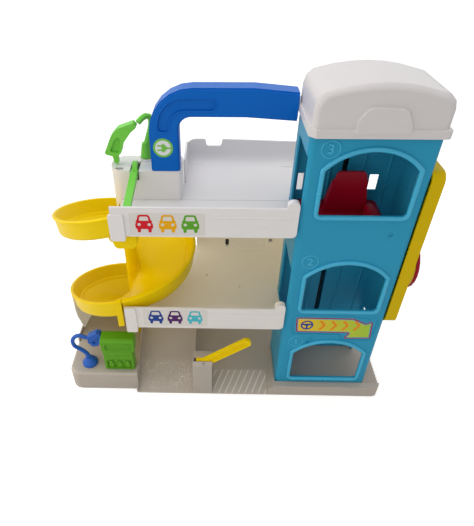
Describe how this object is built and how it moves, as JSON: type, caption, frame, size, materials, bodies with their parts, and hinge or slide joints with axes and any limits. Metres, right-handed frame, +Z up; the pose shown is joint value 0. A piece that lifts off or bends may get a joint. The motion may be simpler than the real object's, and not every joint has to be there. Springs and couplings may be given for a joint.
{
  "type": "toy parking garage",
  "caption": "Toy parking garage with two decks on a spiral ramp, a lift tower worked by a dial, swinging gates, charging hoses and a carry handle.",
  "frame": {"origin": "on the ground under the middle of the garage's bounding box", "axes": "+X right along the front from the ramp towards the lift tower, +Y from the front to the back, +Z up"},
  "size_m": [0.4244, 0.1746, 0.415],
  "materials": {
    "taupe_plastic": "satin, lightly grained",
    "ivory_plastic": "satin",
    "white_plastic": "satin",
    "yellow_plastic": "semi-gloss",
    "handle_blue_plastic": "semi-gloss",
    "tower_blue_plastic": "satin",
    "hose_blue_plastic": "semi-gloss",
    "green_plastic": "semi-gloss",
    "light_green_plastic": "semi-gloss",
    "red_plastic": "semi-gloss",
    "black_plastic": "satin",
    "steel": "drawn wire",
    "cord": "braided"
  },
  "bodies": {
    "garage": {"base": "taupe_plastic", "back_wall": "ivory_plastic", "deck_2": "ivory_plastic", "deck_3": "white_plastic", "spiral_upper": "yellow_plastic", "spiral_lower": "yellow_plastic", "charging_cabinet": "white_plastic", "carry_handle": "handle_blue_plastic", "tower_front": "tower_blue_plastic", "tower_rear": "tower_blue_plastic", "rear_cover": "tower_blue_plastic", "roof_cap": "white_plastic", "side_housing": "yellow_plastic", "haul_cord": "cord", "top_pulley_pin": "steel", "bottom_pulley_pin": "steel", "ground_gate_pin": "steel", "upper_gate_pin": "steel", "pump_body": "green_plastic", "pump_head": "green_plastic"},
    "lift": {"lift_carriage": "red_plastic", "carriage_shoe": "black_plastic"},
    "cross_shaft": {"cross_shaft": "steel", "winding_drum": "black_plastic", "shaft_pinion": "black_plastic"},
    "dial": {"lift_dial": "red_plastic", "dial_shaft": "black_plastic", "dial_gear": "black_plastic"},
    "top_pulley": {"top_pulley": "black_plastic"},
    "bottom_pulley": {"bottom_pulley": "black_plastic"},
    "ground_gate": {"ground_gate": "yellow_plastic"},
    "upper_gate": {"upper_gate": "light_green_plastic"},
    "pump_hose": {"pump_hose": "hose_blue_plastic", "pump_nozzle": "hose_blue_plastic"},
    "cabinet_hose": {"cabinet_hose": "light_green_plastic", "cabinet_nozzle": "light_green_plastic"}
  },
  "joints": [
    {"name": "lift_travel", "type": "slide", "parent": "garage", "child": "lift", "axis": [0, 0, 1], "range_m": [-0.246, 0]},
    {"name": "shaft_turn", "type": "hinge", "parent": "garage", "child": "cross_shaft", "pos_m": [0.12525, 0.0073, 0.203], "axis": [1, 0, 0], "range_deg": [-5, 2015]},
    {"name": "dial_turn", "type": "hinge", "parent": "garage", "child": "dial", "pos_m": [0.19375, -0.0423, 0.203], "axis": [1, 0, 0], "range_deg": [-1260, 5]},
    {"name": "top_pulley_turn", "type": "hinge", "parent": "garage", "child": "top_pulley", "pos_m": [0.12525, 0.0073, 0.331], "axis": [1, 0, 0], "range_deg": [-5, 1345]},
    {"name": "bottom_pulley_turn", "type": "hinge", "parent": "garage", "child": "bottom_pulley", "pos_m": [0.12525, 0.0073, 0.0295], "axis": [1, 0, 0], "range_deg": [-5, 1345]},
    {"name": "ground_gate_swing", "type": "hinge", "parent": "garage", "child": "ground_gate", "pos_m": [-0.02925, -0.0783, 0.06], "axis": [0, 1, 0], "range_deg": [-15, 36.5]},
    {"name": "upper_gate_swing", "type": "hinge", "parent": "garage", "child": "upper_gate", "pos_m": [-0.10585, -0.0123, 0.298], "axis": [1, 0, 0], "range_deg": [-80, 0]},
    {"name": "pump_hose_swivel", "type": "hinge", "parent": "garage", "child": "pump_hose", "pos_m": [-0.18625, -0.0623, 0.04], "axis": [0, 0, 1], "range_deg": [0, 110]},
    {"name": "cabinet_hose_swivel", "type": "hinge", "parent": "garage", "child": "cabinet_hose", "pos_m": [-0.09525, 0.0117, 0.31], "axis": [0, 0, 1], "range_deg": [-120, 45]}
  ],
  "couplings": [
    {"joint": "shaft_turn", "follows": "lift_travel", "rad_per_m": -142.86},
    {"joint": "dial_turn", "follows": "lift_travel", "rad_per_m": 89.286},
    {"joint": "top_pulley_turn", "follows": "lift_travel", "rad_per_m": -95.238},
    {"joint": "bottom_pulley_turn", "follows": "lift_travel", "rad_per_m": -95.238}
  ]
}
